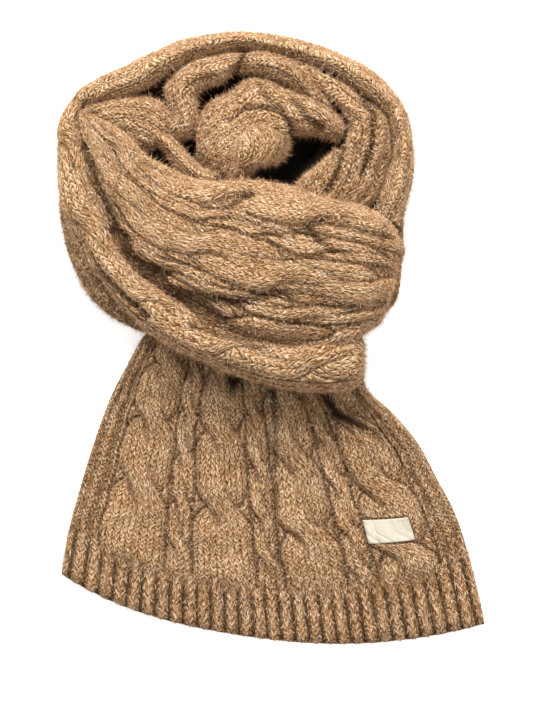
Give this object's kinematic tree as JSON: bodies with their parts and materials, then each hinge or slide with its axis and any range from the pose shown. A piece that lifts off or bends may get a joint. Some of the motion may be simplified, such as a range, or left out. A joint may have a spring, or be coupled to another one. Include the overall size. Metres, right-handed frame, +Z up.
{
  "type": "knit scarf",
  "caption": "Chunky cable knit scarf wound into a loop and laid flat, with its ribbed free end fanned out below and a blank label near the hem.",
  "frame": {"origin": "on the ground under the middle of the scarf's outline", "axes": "+Z up from the ground that the scarf lies on, +Y from the free end's hem towards the loop, +X to the right in that view"},
  "size_m": [0.2683, 0.3849, 0.0743],
  "materials": {
    "yarn": "brushed camel wool yarn, matt and fuzzy",
    "label": "cream woven tape, matt"
  },
  "bodies": {
    "root": {"tail_panel": "yarn", "hem_rib": "yarn", "front_band": "yarn", "lower_band": "yarn", "left_outer": "yarn", "top_rim": "yarn", "inner_right": "yarn", "inner_left": "yarn", "inner_roll": "yarn", "inner_back_roll": "yarn", "core_fold": "yarn", "core_nose": "yarn", "thin_strip": "yarn", "wound_layers": "yarn", "label": "label"}
  },
  "joints": []
}
